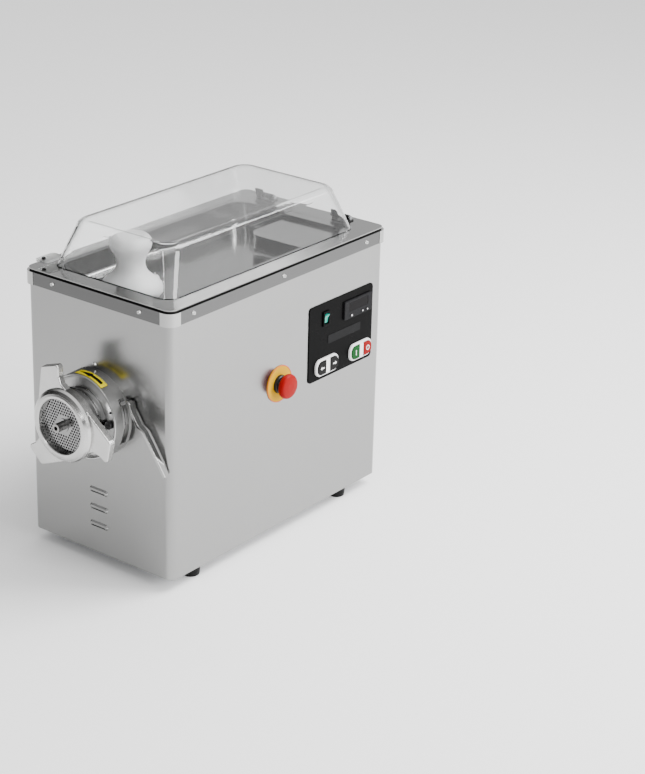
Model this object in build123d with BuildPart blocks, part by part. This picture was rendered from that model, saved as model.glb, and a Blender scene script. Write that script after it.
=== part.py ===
from build123d import *
from math import acos, atan2, cos, degrees, hypot, pi, radians, sin, tan
import os

# Refrigerated countertop meat grinder for 98 mm cutting plates. Millimetres, +Z up.
# The mincing head looks along -Y and the control panel along +X.

os.makedirs("parts", exist_ok=True)

# ---- driving dimensions -------------------------------------------------------------------------
CASE_W = 290.0  # casing, left to right
CASE_L = 516.0  # casing, front to back
CASE_H = 432.0  # casing, from its bottom edge to the rim
CORNER_R = 12.0  # upright corners of the casing
SHEET = 1.5  # stainless sheet
FOOT_H = 20.0  # rubber feet below the casing
BAND_H = 20.0  # trim band round the rim
BAND_T = 3.8
CAP_REACH = 21.0  # how far a corner cap runs along each face
GASKET_T = 3.0

AXIS_X = -5.0  # mincing head, off the casing's middle
AXIS_UP = 239.0  # mincing head above the casing's bottom edge
PIN_OUT = 87.0  # tip of the worm's spigot, the furthest point forward
ESTOP_OUT = 24.0  # face of the mushroom, the furthest point to the right
SCREW_H = 2.2  # heads on the trim band, the furthest points to the left
GLAND_OUT = 20.0  # cord gland, the furthest point to the back

DRUM_R = 69.0  # cast drum on the front wall
DRUM_OUT = 31.0
BARREL_R = 47.2
BELL_R = 54.0
PLATE_R = 48.9
OPENING_R = 43.0

# The casing's middle, so that the whole machine is centred on the origin.
CX = (BAND_T + SCREW_H - ESTOP_OUT) / 2
CY = (PIN_OUT - GLAND_OUT) / 2
Z0 = FOOT_H
Z_RIM = Z0 + CASE_H
Z_TRAY = Z_RIM + GASKET_T
TRAY_TOP = Z_TRAY + SHEET
AXIS_Z = Z0 + AXIS_UP

# Working planes: x to the right and y up on each face, z outwards.
BASE = Plane(origin=(CX, CY, 0))
FRONT = Plane(origin=(CX, CY - CASE_L / 2, 0), x_dir=(1, 0, 0), z_dir=(0, -1, 0))
SIDE = Plane(origin=(CX + CASE_W / 2, CY, 0), x_dir=(0, 1, 0), z_dir=(1, 0, 0))
REAR = Plane(origin=(CX, CY + CASE_L / 2, 0), x_dir=(-1, 0, 0), z_dir=(0, 1, 0))
HEAD = Plane(origin=(CX + AXIS_X, CY - CASE_L / 2, AXIS_Z), x_dir=(1, 0, 0), z_dir=(0, -1, 0))
# Half section of the head: x is the distance out from the wall, y the radius.
LATHE = Plane(origin=HEAD.origin, x_dir=(0, -1, 0), z_dir=(-1, 0, 0))
HEAD_LINE = Axis(HEAD.origin, (0, -1, 0))


def turned(plane, line, outline):
    """A closed half section of (along, radius) points, turned round its line."""
    with BuildPart() as piece:
        with BuildSketch(plane):
            with BuildLine():
                Polyline(*outline, close=True)
            make_face()
        revolve(axis=line)
    return piece.part


# ---- casing -------------------------------------------------------------------------------------
LOUVRE_UPS = (105.4, 76.4, 47.4)  # centres above the casing's bottom edge
LOUVRE_X = -3.5
LOUVRE_W = 38.0
LOUVRE_H = 10.0
LOUVRE_OUT = 3.0
ESTOP_Y = -6.5
ESTOP_UP = 245.0
PANEL_Y = 148.0
PANEL_UP = 284.0
PANEL_W = 166.0
PANEL_H = 128.0
THERMO_Y = 189.0
THERMO_UP = 319.5
THERMO_W = 73.0
THERMO_H = 31.0
ROCKER_Y = 107.0
ROCKER_UP = 321.0
BUTTON_YS = (110.0, 198.5)
BUTTON_UP = 241.0
VENT_ROWS = 5
VENT_PITCH = 16.0

with BuildPart() as casing_shell:
    with BuildSketch(BASE.offset(Z0)):
        RectangleRounded(CASE_W, CASE_L, CORNER_R)
        RectangleRounded(CASE_W - 2 * SHEET, CASE_L - 2 * SHEET, CORNER_R - SHEET, mode=Mode.SUBTRACT)
    extrude(amount=CASE_H)
    # flange turned inwards at the rim, which carries the tray
    with BuildSketch(BASE.offset(Z_RIM - SHEET)):
        RectangleRounded(CASE_W - SHEET, CASE_L - SHEET, CORNER_R - SHEET / 2)
        RectangleRounded(CASE_W - 26, CASE_L - 26, CORNER_R, mode=Mode.SUBTRACT)
    extrude(amount=SHEET)
    # hooded louvres pressed out of the front wall
    with BuildSketch(FRONT):
        with Locations(*[(LOUVRE_X, Z0 + up) for up in LOUVRE_UPS]):
            SlotOverall(LOUVRE_W, LOUVRE_H)
    extrude(amount=LOUVRE_OUT, taper=38)
    with BuildSketch(FRONT.offset(-2 * SHEET)):
        with Locations(*[(LOUVRE_X, Z0 + up - 2.6) for up in LOUVRE_UPS]):
            SlotOverall(LOUVRE_W - 8, 4.0)
    extrude(amount=2 * SHEET + LOUVRE_OUT, mode=Mode.SUBTRACT)
    # opening behind the head
    with BuildSketch(HEAD.offset(-2 * SHEET)):
        Circle(57)
    extrude(amount=2 * SHEET + 1, mode=Mode.SUBTRACT)
    # openings in the control side
    with BuildSketch(SIDE.offset(-2 * SHEET)):
        with Locations((ESTOP_Y, Z0 + ESTOP_UP)):
            Circle(11.3)
        with Locations((THERMO_Y, Z0 + THERMO_UP)):
            Rectangle(70, 28)
        with Locations((ROCKER_Y, Z0 + ROCKER_UP)):
            Rectangle(13, 20)
        with Locations(*[(y, Z0 + BUTTON_UP) for y in BUTTON_YS]):
            Rectangle(44, 21)
    extrude(amount=2 * SHEET + 1, mode=Mode.SUBTRACT)
    # service opening at the back
    with BuildSketch(REAR.offset(-2 * SHEET)):
        with Locations((0, Z0 + CASE_H / 2 - 4)):
            RectangleRounded(CASE_W - 56, CASE_H - 88, 8)
    extrude(amount=2 * SHEET + 1, mode=Mode.SUBTRACT)
casing_shell.part.label = "casing_shell"
export_step(casing_shell.part, "parts/casing_shell.step")

COVER_W = CASE_W - 36
COVER_H = CASE_H - 62
COVER_T = 1.2
COVER_Z = Z0 + CASE_H / 2 - 4
GLAND_X = 70.0
GLAND_Z = Z0 + 60

with BuildPart() as rear_cover:
    with BuildSketch(REAR):
        with Locations((0, COVER_Z)):
            RectangleRounded(COVER_W, COVER_H, 10)
    extrude(amount=COVER_T)
    with BuildSketch(REAR):
        for side in (-1, 1):
            for row in range(-VENT_ROWS, VENT_ROWS + 1):
                with Locations((side * 52, COVER_Z + 60 + row * VENT_PITCH)):
                    SlotOverall(74, 6)
        with Locations((GLAND_X, GLAND_Z)):
            Circle(8.2)
    extrude(amount=COVER_T, mode=Mode.SUBTRACT)
rear_cover.part.label = "rear_cover"
export_step(rear_cover.part, "parts/rear_cover.step")

with BuildPart() as base_plate:
    with BuildSketch(BASE.offset(Z0)):
        RectangleRounded(CASE_W - 2 * SHEET - 0.4, CASE_L - 2 * SHEET - 0.4, CORNER_R - SHEET)
    extrude(amount=2.0)
    with BuildSketch(BASE.offset(Z0 + 2.0)):
        RectangleRounded(CASE_W - 2 * SHEET - 0.4, CASE_L - 2 * SHEET - 0.4, CORNER_R - SHEET)
        RectangleRounded(CASE_W - 2 * SHEET - 4.4, CASE_L - 2 * SHEET - 4.4, CORNER_R - 3.5, mode=Mode.SUBTRACT)
    extrude(amount=16)
    with BuildSketch(BASE.offset(Z0)):
        with GridLocations(0, 14, 1, 7):
            SlotOverall(120, 6)
    extrude(amount=2.0, mode=Mode.SUBTRACT)
base_plate.part.label = "base_plate"
export_step(base_plate.part, "parts/base_plate.step")

# ---- feet ---------------------------------------------------------------------------------------
FOOT_X = 124.0
FOOT_YS = (-190.0, 178.0)
FOOT_TOP_R = 15.0
FOOT_R = 13.0
FOOT_SPOTS = [(x, y) for x in (-FOOT_X, FOOT_X) for y in FOOT_YS]

with BuildPart() as feet:
    with BuildSketch(BASE):
        with Locations(*FOOT_SPOTS):
            Circle(FOOT_R)
    extrude(amount=FOOT_H, taper=-degrees(atan2(FOOT_TOP_R - FOOT_R, FOOT_H)))
    with BuildSketch(BASE):
        with Locations(*FOOT_SPOTS):
            Circle(6.2)
    extrude(amount=9, mode=Mode.SUBTRACT)
    with BuildSketch(BASE):
        with Locations(*FOOT_SPOTS):
            Circle(3.1)
    extrude(amount=FOOT_H, mode=Mode.SUBTRACT)
    fillet(feet.edges().filter_by(GeomType.CIRCLE).group_by(Axis.Z)[0].sort_by(SortBy.RADIUS)[-4:], 1.5)
feet.part.label = "feet"
export_step(feet.part, "parts/feet.step")

# ---- rim ----------------------------------------------------------------------------------------
BAND_OUT_W = CASE_W + 2 * BAND_T
BAND_OUT_L = CASE_L + 2 * BAND_T


def rim_ring(grow=0.0, low=0.0):
    """The trim band's full ring round the rim, grown outwards and lowered for the caps."""
    with BuildPart() as ring:
        with BuildSketch(BASE.offset(Z_RIM - BAND_H - low)):
            RectangleRounded(BAND_OUT_W + 2 * grow, BAND_OUT_L + 2 * grow, CORNER_R + BAND_T + grow)
            RectangleRounded(CASE_W, CASE_L, CORNER_R, mode=Mode.SUBTRACT)
        extrude(amount=BAND_H + low)
    return ring.part


def corner_blocks():
    """Four square columns that cover the corners, as far as the caps reach."""
    with BuildPart() as blocks:
        with BuildSketch(BASE.offset(Z_RIM - BAND_H - 5)):
            with GridLocations(BAND_OUT_W, BAND_OUT_L, 2, 2):
                Rectangle(2 * CAP_REACH, 2 * CAP_REACH)
        extrude(amount=BAND_H + 10)
    return blocks.part


with BuildPart() as rim_bands:
    add(rim_ring())
    add(corner_blocks(), mode=Mode.SUBTRACT)
rim_bands.part.label = "rim_bands"
export_step(rim_bands.part, "parts/rim_bands.step")

with BuildPart() as rim_corner_caps:
    add(rim_ring(0.6, 0.8))
    add(corner_blocks(), mode=Mode.INTERSECT)
rim_corner_caps.part.label = "rim_corner_caps"
export_step(rim_corner_caps.part, "parts/rim_corner_caps.step")

with BuildPart() as tray_gasket:
    with BuildSketch(BASE.offset(Z_RIM)):
        RectangleRounded(CASE_W + 1, CASE_L + 1, CORNER_R + 0.5)
        RectangleRounded(CASE_W - 24, CASE_L - 24, CORNER_R, mode=Mode.SUBTRACT)
    extrude(amount=GASKET_T)
tray_gasket.part.label = "tray_gasket"
export_step(tray_gasket.part, "parts/tray_gasket.step")

# ---- screws: pan heads on the rim, cover and front, and the feet's screws ------------------------
SCREW_R = 3.4
SCREW_Z = Z_RIM - 9.5
SIDE_SCREW_YS = (-212.0, -3.0, 206.0)
END_SCREW_XS = (-87.5, 87.5)
LEFT = Plane(origin=(CX - CASE_W / 2, CY, 0), x_dir=(0, -1, 0), z_dir=(-1, 0, 0))
screw_seats = [(FRONT, x, SCREW_Z, BAND_T) for x in END_SCREW_XS]
screw_seats += [(REAR, x, SCREW_Z, BAND_T) for x in END_SCREW_XS]
screw_seats += [(SIDE, y, SCREW_Z, BAND_T) for y in SIDE_SCREW_YS]
screw_seats += [(LEFT, -y, SCREW_Z, BAND_T) for y in SIDE_SCREW_YS]
screw_seats += [(HEAD, -2.0, 75.6, 0.0)]
for side in (-1, 1):
    for up in (-1, 0, 1):
        spot = (side * (COVER_W / 2 - 8), COVER_Z + up * (COVER_H / 2 - 10))
        screw_seats.append((REAR, *spot, COVER_T))

with BuildPart() as screws:
    for plane, x, y, out in screw_seats:
        with BuildSketch(plane.offset(out)):
            with Locations((x, y)):
                Circle(SCREW_R)
        extrude(amount=SCREW_H, taper=24)
    for plane, x, y, out in screw_seats:
        with BuildSketch(plane.offset(out + SCREW_H - 0.9)):
            with Locations((x, y)):
                Rectangle(4.0, 0.9)
                Rectangle(0.9, 4.0)
        extrude(amount=2, mode=Mode.SUBTRACT)
    with BuildSketch(BASE.offset(5)):
        with Locations(*FOOT_SPOTS):
            Circle(5.0)
    extrude(amount=4)
    with BuildSketch(BASE.offset(9)):
        with Locations(*FOOT_SPOTS):
            Circle(3.0)
    extrude(amount=FOOT_H - 9)
    with BuildSketch(BASE.offset(5)):
        with Locations(*FOOT_SPOTS):
            RegularPolygon(3, 6)
    extrude(amount=2.5, mode=Mode.SUBTRACT)
screws.part.label = "screws"
export_step(screws.part, "parts/screws.step")

with BuildPart() as cord_gland:
    with BuildSketch(REAR.offset(COVER_T)):
        with Locations((GLAND_X, GLAND_Z)):
            RegularPolygon(13, 6)
    extrude(amount=6)
    with BuildSketch(REAR.offset(COVER_T + 6)):
        with Locations((GLAND_X, GLAND_Z)):
            Circle(11)
    extrude(amount=GLAND_OUT - COVER_T - 6, taper=9)
    with BuildSketch(REAR.offset(-8)):
        with Locations((GLAND_X, GLAND_Z)):
            Circle(8)
    extrude(amount=8 + COVER_T)
    with BuildSketch(REAR.offset(-8)):
        with Locations((GLAND_X, GLAND_Z)):
            Circle(4.2)
    extrude(amount=8 + GLAND_OUT, mode=Mode.SUBTRACT)
cord_gland.part.label = "cord_gland"
export_step(cord_gland.part, "parts/cord_gland.step")

# ---- mincing head: drum, lock ring and lever ----------------------------------------------------
SLOT_LOW = 3.0  # the lever's slot, from the wall
SLOT_HIGH = 14.0
SLOT_FROM = -29.0  # degrees round the head axis
SLOT_TO = 34.0
CAVITY_R = 62.0
WEB_LOW = 20.0

drum_outline = [
    (0, CAVITY_R),
    (0, DRUM_R),
    (DRUM_OUT - 1.2, DRUM_R - 1.3),
    (DRUM_OUT, DRUM_R - 2.4),
    (DRUM_OUT, DRUM_R - 4.2),
    (DRUM_OUT - 3.4, DRUM_R - 5.6),
    (DRUM_OUT - 4.2, DRUM_R - 8.0),
    (DRUM_OUT - 3.0, BARREL_R + 3.4),
    (DRUM_OUT - 3.0, BARREL_R + 0.4),
    (WEB_LOW, BARREL_R + 0.4),
    (WEB_LOW, CAVITY_R),
]


def sector(inner, outer, start, end):
    """Points of a ring sector's outline in the head's plane, angles in degrees."""
    steps = 12
    angles = [start + (end - start) * step / steps for step in range(steps + 1)]
    rim = [(outer * cos(radians(a)), outer * sin(radians(a))) for a in angles]
    inside = [(inner * cos(radians(a)), inner * sin(radians(a))) for a in reversed(angles)]
    return rim + inside


with BuildPart() as head_drum:
    add(turned(LATHE, HEAD_LINE, drum_outline))
    with BuildSketch(HEAD.offset(SLOT_LOW)):
        with BuildLine():
            Polyline(*sector(CAVITY_R - 1, DRUM_R + 2, SLOT_FROM, SLOT_TO), close=True)
        make_face()
    extrude(amount=SLOT_HIGH - SLOT_LOW, mode=Mode.SUBTRACT)
    # sight hole and the plug's hole in the front web
    with BuildSketch(HEAD.offset(WEB_LOW)):
        with Locations((54.2, 21.0)):
            Circle(2.1)
        with Locations((55.0, 2.6)):
            Circle(3.0)
    extrude(amount=DRUM_OUT, mode=Mode.SUBTRACT)
head_drum.part.label = "head_drum"
export_step(head_drum.part, "parts/head_drum.step")

with BuildPart() as drum_plug:
    with BuildSketch(HEAD.offset(WEB_LOW - 1.5)):
        with Locations((55.0, 2.6)):
            Circle(2.9)
    extrude(amount=DRUM_OUT - WEB_LOW)
    with BuildSketch(HEAD.offset(DRUM_OUT - 2.6)):
        with Locations((55.0, 2.6)):
            Circle(6.4)
    extrude(amount=7.0)
    fillet(drum_plug.edges().filter_by(GeomType.CIRCLE).sort_by(Axis.Y)[0], 2.4)
drum_plug.part.label = "drum_plug"
export_step(drum_plug.part, "parts/drum_plug.step")

RING_LOW = 4.0
RING_HIGH = 13.0
LEVER_T = 5.0  # the lever is a flat bar on edge
# The lever's middle line, x and z from the head axis.
LEVER_ROUTE = [(54.4, 28.9), (75.5, 40.1), (80, 26), (94.3, 4.7), (105.2, -1.5), (114.4, -14.4), (147.0, -62.5)]

with BuildPart() as lock_ring:
    with BuildSketch(HEAD.offset(RING_LOW - 0.5)):
        Circle(CAVITY_R - 0.6)
        with Locations((0.5, 0)):
            Circle(BARREL_R + 1.4, mode=Mode.SUBTRACT)
    extrude(amount=RING_HIGH - RING_LOW + 1.5)
    with BuildSketch(HEAD.offset(RING_LOW - 0.5)):
        with PolarLocations(55.2, 3, start_angle=150):
            Circle(2.6)
    extrude(amount=RING_HIGH, mode=Mode.SUBTRACT)
lock_ring.part.label = "lock_ring"
export_step(lock_ring.part, "parts/lock_ring.step")

with BuildPart() as lock_lever:
    with BuildSketch(HEAD.offset(RING_LOW)):
        with BuildLine():
            FilletPolyline(*LEVER_ROUTE, radius=4.0)
        trace(line_width=LEVER_T)
    extrude(amount=RING_HIGH - RING_LOW)
    fillet(lock_lever.edges().group_by(Axis.Y)[0], 1.2)
lock_lever.part.label = "lock_lever"
export_step(lock_lever.part, "parts/lock_lever.step")

# ---- mincing head: barrel, worm, knife, plate and ring nut --------------------------------------
BARREL_BACK = -150.0
BORE_R = 43.3
SEAT_R = 49.2  # counterbore that holds the knife and the plate
SEAT_OUT = 48.0
BELL_OUT = 70.5
INLET_DEEP = 81.0  # middle of the feed inlet, behind the wall
INLET_R = 27.0
TAIL_R = 18.0
PLATE_LOW = 61.2
PLATE_HIGH = 70.8
KNIFE_LOW = 53.0
KNIFE_HIGH = 61.0
SQUARE = 17.4  # the knife's drive on the worm
PIN_R = 6.95
PIN_BORE_R = 7.0

barrel_outline = [
    (BARREL_BACK, TAIL_R),
    (BARREL_BACK, BARREL_R),
    (35, BARREL_R),
    (39, BARREL_R + 1.0),
    (46, BELL_R - 1.0),
    (49, BELL_R),
    (BELL_OUT, BELL_R),
    (BELL_OUT, SEAT_R),
    (SEAT_OUT, SEAT_R),
    (SEAT_OUT, BORE_R),
    (BARREL_BACK + 15, BORE_R),
    (BARREL_BACK + 15, TAIL_R),
]
with BuildPart() as head_barrel:
    add(turned(LATHE, HEAD_LINE, barrel_outline))
    with BuildSketch(Plane(origin=HEAD.from_local_coords((0, 0, -INLET_DEEP)))):
        Circle(INLET_R)
    extrude(amount=BARREL_R + 5, mode=Mode.SUBTRACT)
head_barrel.part.label = "head_barrel"
export_step(head_barrel.part, "parts/head_barrel.step")

FLIGHT_R = 42.7
CORE_R = 15.0
FLIGHT_T = 8.0
FLIGHT_PITCH = 42.0
FLIGHT_BACK = -131.0
FLIGHT_TURNS = 4
FLIGHT_TURN = 101.0  # where round the core the flight starts


def worm_flight():
    """The worm's helical flight, standing on the XY plane round the Z axis."""
    with BuildPart() as flight:
        with BuildLine() as line:
            Helix(pitch=FLIGHT_PITCH, height=FLIGHT_PITCH * FLIGHT_TURNS, radius=(FLIGHT_R + CORE_R - 2) / 2)
        with BuildSketch(Plane(origin=line.line @ 0, x_dir=(1, 0, 0), z_dir=line.line % 0)):
            Rectangle(FLIGHT_R - CORE_R + 2, FLIGHT_T)
        sweep(path=line.line, is_frenet=True)
    return flight.part.rotate(Axis.Z, FLIGHT_TURN)


with BuildPart() as worm_auger:
    add(
        turned(
            LATHE,
            HEAD_LINE,
            [
                (-150, 0),
                (-150, TAIL_R - 0.06),
                (-134.5, TAIL_R - 0.06),
                (-134.5, CORE_R + 6),
                (-131, CORE_R + 6),
                (-120, CORE_R),
                (40, CORE_R + 2),
                (52.6, CORE_R + 2),
                (52.6, 0),
            ],
        )
    )
    # square drive for the knife, then the round spigot with its flats and bore
    with BuildSketch(HEAD.offset(52)):
        RectangleRounded(SQUARE, SQUARE, 1)
    extrude(amount=PLATE_LOW - 52.3)
    with BuildSketch(HEAD.offset(52)):
        Circle(PIN_R)
    extrude(amount=PIN_OUT - 52)
    with BuildSketch(HEAD.offset(PIN_OUT - 16)):
        Circle(3.4)
    extrude(amount=16, mode=Mode.SUBTRACT)
    # square tail that enters the gearbox's socket
    with BuildSketch(HEAD.offset(-172)):
        RectangleRounded(22, 22, 1)
    extrude(amount=24)
    with Locations(HEAD.offset(FLIGHT_BACK).location):
        add(worm_flight())
worm_auger.part.label = "worm_auger"
export_step(worm_auger.part, "parts/worm_auger.step")

KNIFE_HUB_R = 15.0
BLADES = 4


def blade_outline():
    """One curved blade from the hub to its broad tip, drawn to the right of the head's middle."""
    with BuildSketch() as blade:
        with BuildLine():
            root_low = (10, -10)
            tip_low = (40.5, -3.0)
            tip_high = (44.5, 14.0)
            root_high = (4, 13.5)
            Spline(root_low, (24, -13.5), tip_low)
            Line(tip_low, tip_high)
            Spline(tip_high, (27, 3.5), root_high)
            Line(root_high, root_low)
        make_face()
    return blade.sketch


with BuildPart() as knife:
    with BuildSketch(HEAD.offset(KNIFE_LOW)):
        Circle(KNIFE_HUB_R)
        with PolarLocations(0, BLADES):
            add(blade_outline())
        Rectangle(SQUARE + 0.2, SQUARE + 0.2, mode=Mode.SUBTRACT)
    extrude(amount=KNIFE_HIGH - KNIFE_LOW)
knife.part.label = "knife"
export_step(knife.part, "parts/knife.step")

HOLE_R = 1.7
HOLE_PITCH = 5.0
HOLE_RINGS = 9  # hexagonal rows round the middle
HUB_KEEP_R = 16.0
RIM_KEEP_R = 44.4
ROW_STEP = HOLE_PITCH * cos(radians(30))


def plate_holes():
    """Hexagonal pattern of mincing holes between the plate's bush and its solid rim."""
    spots = []
    for row in range(-HOLE_RINGS, HOLE_RINGS + 1):
        for column in range(-2 * HOLE_RINGS, 2 * HOLE_RINGS + 1):
            if (row + column) % 2:
                continue
            x = column * HOLE_PITCH / 2
            y = row * ROW_STEP
            inside_hexagon = abs(column) / 2 + abs(row) / 2 <= HOLE_RINGS
            if inside_hexagon and HUB_KEEP_R < hypot(x, y) < RIM_KEEP_R:
                spots.append((x, y))
    return spots


with BuildPart() as perforated_plate:
    with BuildSketch(HEAD.offset(PLATE_LOW)):
        Circle(PLATE_R)
        with Locations(*plate_holes()):
            Circle(HOLE_R, mode=Mode.SUBTRACT)
        with PolarLocations(PLATE_R, 1, start_angle=62):
            Rectangle(8, 7, mode=Mode.SUBTRACT)
    extrude(amount=PLATE_HIGH - PLATE_LOW)
    with BuildSketch(HEAD.offset(PLATE_HIGH)):
        Circle(10.5)
    extrude(amount=1.2)
    with BuildSketch(HEAD.offset(PLATE_LOW)):
        Circle(PIN_BORE_R)
    extrude(amount=20, mode=Mode.SUBTRACT)
perforated_plate.part.label = "perforated_plate"
export_step(perforated_plate.part, "parts/perforated_plate.step")

NUT_LOW = 58.5
FLANGE_HIGH = 70.0
NUT_HIGH = 80.0
NUT_R = 57.5
LOBE_TIP = 92.0
LOBE_TURN = 108.0  # degrees: middle of the upper lobe
LOBES = 3

nut_outline = [
    (NUT_LOW, BELL_R + 0.35),
    (NUT_LOW, NUT_R),
    (FLANGE_HIGH + 2, NUT_R),
    (FLANGE_HIGH + 6, NUT_R - 2.0),
    (NUT_HIGH - 1, NUT_R - 6.5),
    (NUT_HIGH, OPENING_R + 4.5),
    (NUT_HIGH, OPENING_R + 1.0),
    (NUT_HIGH - 1, OPENING_R),
    (PLATE_HIGH + 0.3, OPENING_R),
    (PLATE_HIGH + 0.3, BELL_R + 0.35),
]


def lobe_outline():
    """One wing of the ring nut along +X: a broad tip, a hollow side and a straight slanted side."""
    with BuildSketch() as lobe:
        with BuildLine():
            Polyline(
                (LOBE_TIP - 4, 18.5),
                (LOBE_TIP, 15.5),
                (LOBE_TIP, -15.5),
                (LOBE_TIP - 4, -18.5),
                (74, -14.5),
                (62, -15.0),
                (52, -23.0),
                (30, -20.0),
                (30, 47.5),
                (40, 42.0),
                close=True,
            )
        make_face()
        fillet(lobe.vertices().group_by(Axis.X)[1:], 3.0)
    return lobe.sketch


with BuildPart() as ring_nut:
    with BuildSketch(HEAD.offset(NUT_LOW)):
        Circle(NUT_R)
        with PolarLocations(0, LOBES, start_angle=LOBE_TURN):
            add(lobe_outline())
    extrude(amount=FLANGE_HIGH - NUT_LOW)
    fillet(ring_nut.edges().group_by(Axis.Y)[0], 1.6)
    fillet(ring_nut.edges().group_by(Axis.Y)[-1], 1.2)
    with BuildSketch(HEAD.offset(NUT_LOW - 1)):
        Circle(NUT_R - 1)
    extrude(amount=FLANGE_HIGH + 2 - NUT_LOW, mode=Mode.SUBTRACT)
    add(turned(LATHE, HEAD_LINE, nut_outline))
ring_nut.part.label = "ring_nut"
export_step(ring_nut.part, "parts/ring_nut.step")

# ---- inside the head: cooling sleeve, coil and front support ------------------------------------
SLEEVE_R = 56.0
SLEEVE_BORE = BARREL_R + 0.3
NECK_R = 34.0
NECK_BORE = 29.5
NECK_TOP = 345.0
INLET_PLANE = Plane(origin=HEAD.from_local_coords((0, 0, -INLET_DEEP)))

with BuildPart() as cooling_sleeve:
    sleeve_wall = [(-146, SLEEVE_BORE), (-146, SLEEVE_R), (-1, SLEEVE_R), (-1, SLEEVE_BORE)]
    add(turned(LATHE, HEAD_LINE, sleeve_wall))
    with BuildSketch(INLET_PLANE):
        Circle(NECK_R)
        Circle(NECK_BORE, mode=Mode.SUBTRACT)
    extrude(amount=NECK_TOP - AXIS_Z)
    with BuildSketch(HEAD.offset(-146)):
        Circle(SLEEVE_BORE)
    extrude(amount=145, mode=Mode.SUBTRACT)
    with BuildSketch(INLET_PLANE):
        Circle(NECK_BORE)
    extrude(amount=NECK_TOP - AXIS_Z, mode=Mode.SUBTRACT)
cooling_sleeve.part.label = "cooling_sleeve"
export_step(cooling_sleeve.part, "parts/cooling_sleeve.step")

COIL_R = SLEEVE_R + 5.2
COIL_TUBE_R = 5.0
COIL_DEEPS = (-22, -34, -124, -136)
with BuildPart() as evaporator_coil:
    for deep in COIL_DEEPS:
        with Locations(Location(HEAD.offset(deep))):
            Torus(COIL_R, COIL_TUBE_R)
    with BuildSketch(HEAD.offset(COIL_DEEPS[-1])):
        with Locations((-COIL_R, 0)):
            Circle(3.0)
    extrude(amount=COIL_DEEPS[0] - COIL_DEEPS[-1])
evaporator_coil.part.label = "evaporator_coil"
export_step(evaporator_coil.part, "parts/evaporator_coil.step")

with BuildPart() as front_support:
    with BuildSketch(HEAD.offset(-11)):
        with Locations((-AXIS_X, -48)):
            RectangleRounded(230, 300, 10)
        Circle(SLEEVE_R + 0.1, mode=Mode.SUBTRACT)
    extrude(amount=8)
front_support.part.label = "front_support"
export_step(front_support.part, "parts/front_support.step")

# ---- drive: gearbox, shafts and motor -----------------------------------------------------------
PRESSURE = 25.0  # degrees
BACKLASH = 0.16
MOTOR_TEETH = 15
FIRST_TEETH = 45
FIRST_MODULE = 2.0
SECOND_TEETH = 16
OUTPUT_TEETH = 44
SECOND_MODULE = 2.5
LAY_X, LAY_Z = 45.0, -60.0  # layshaft, from the head axis
MOTOR_X, MOTOR_Z = 9.0, -108.0  # motor shaft, from the head axis
SECOND_LOW, SECOND_HIGH = -204.0, -184.0  # out from the wall, so behind it
FIRST_LOW, FIRST_HIGH = -224.0, -210.0


def involute(angle):
    return tan(angle) - angle


def gear_outline(teeth, module, turn):
    """Involute spur gear in its own plane, one tooth pointing at the angle turn (degrees)."""
    pitch_r = teeth * module / 2
    base_r = pitch_r * cos(radians(PRESSURE))
    tip_r = pitch_r + 0.95 * module
    root_r = pitch_r - 1.2 * module
    half_tooth = (pi * module / 2 - BACKLASH) / (2 * pitch_r)
    foot = max(base_r, root_r)
    radii = [foot + (tip_r - foot) * step / 4 for step in range(5)]
    flank = []
    for r in radii:
        half = half_tooth + involute(radians(PRESSURE)) - involute(acos(min(1.0, base_r / r)))
        flank.append((r, half))
    flank.insert(0, (root_r - 0.1, min(flank[0][1] + 0.01, 0.96 * pi / teeth)))
    points = []
    for tooth in range(teeth):
        middle = radians(turn) + 2 * pi * tooth / teeth
        for r, half in flank:
            points.append((r * cos(middle - half), r * sin(middle - half)))
        for r, half in reversed(flank):
            points.append((r * cos(middle + half), r * sin(middle + half)))
    with BuildSketch() as gear:
        with BuildLine():
            Polyline(*points, close=True)
        make_face()
    return gear.sketch


# A tooth of the driving gear points at the gap of the driven one.
to_output = degrees(atan2(-LAY_Z, -LAY_X))
to_lay = degrees(atan2(LAY_Z - MOTOR_Z, LAY_X - MOTOR_X))

with BuildPart() as output_shaft:
    with BuildSketch(HEAD.offset(SECOND_LOW)):
        add(gear_outline(OUTPUT_TEETH, SECOND_MODULE, to_output + 180 + 180 / OUTPUT_TEETH))
    extrude(amount=SECOND_HIGH - SECOND_LOW)
    with BuildSketch(HEAD.offset(-243)):
        Circle(14.95)
    extrude(amount=93 - 1)
    with BuildSketch(HEAD.offset(-178)):
        Circle(20)
    extrude(amount=26)
    with BuildSketch(HEAD.offset(-173)):
        Rectangle(22.4, 22.4)
    extrude(amount=30, mode=Mode.SUBTRACT)
output_shaft.part.label = "output_shaft"
export_step(output_shaft.part, "parts/output_shaft.step")

with BuildPart() as layshaft:
    with BuildSketch(HEAD.offset(SECOND_LOW - 1)):
        with Locations((LAY_X, LAY_Z)):
            add(gear_outline(SECOND_TEETH, SECOND_MODULE, to_output))
    extrude(amount=SECOND_HIGH - SECOND_LOW + 2)
    with BuildSketch(HEAD.offset(FIRST_LOW)):
        with Locations((LAY_X, LAY_Z)):
            add(gear_outline(FIRST_TEETH, FIRST_MODULE, to_lay + 180 + 180 / FIRST_TEETH))
    extrude(amount=FIRST_HIGH - FIRST_LOW)
    with BuildSketch(HEAD.offset(-243)):
        with Locations((LAY_X, LAY_Z)):
            Circle(9.95)
    extrude(amount=71)
layshaft.part.label = "layshaft"
export_step(layshaft.part, "parts/layshaft.step")

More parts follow.
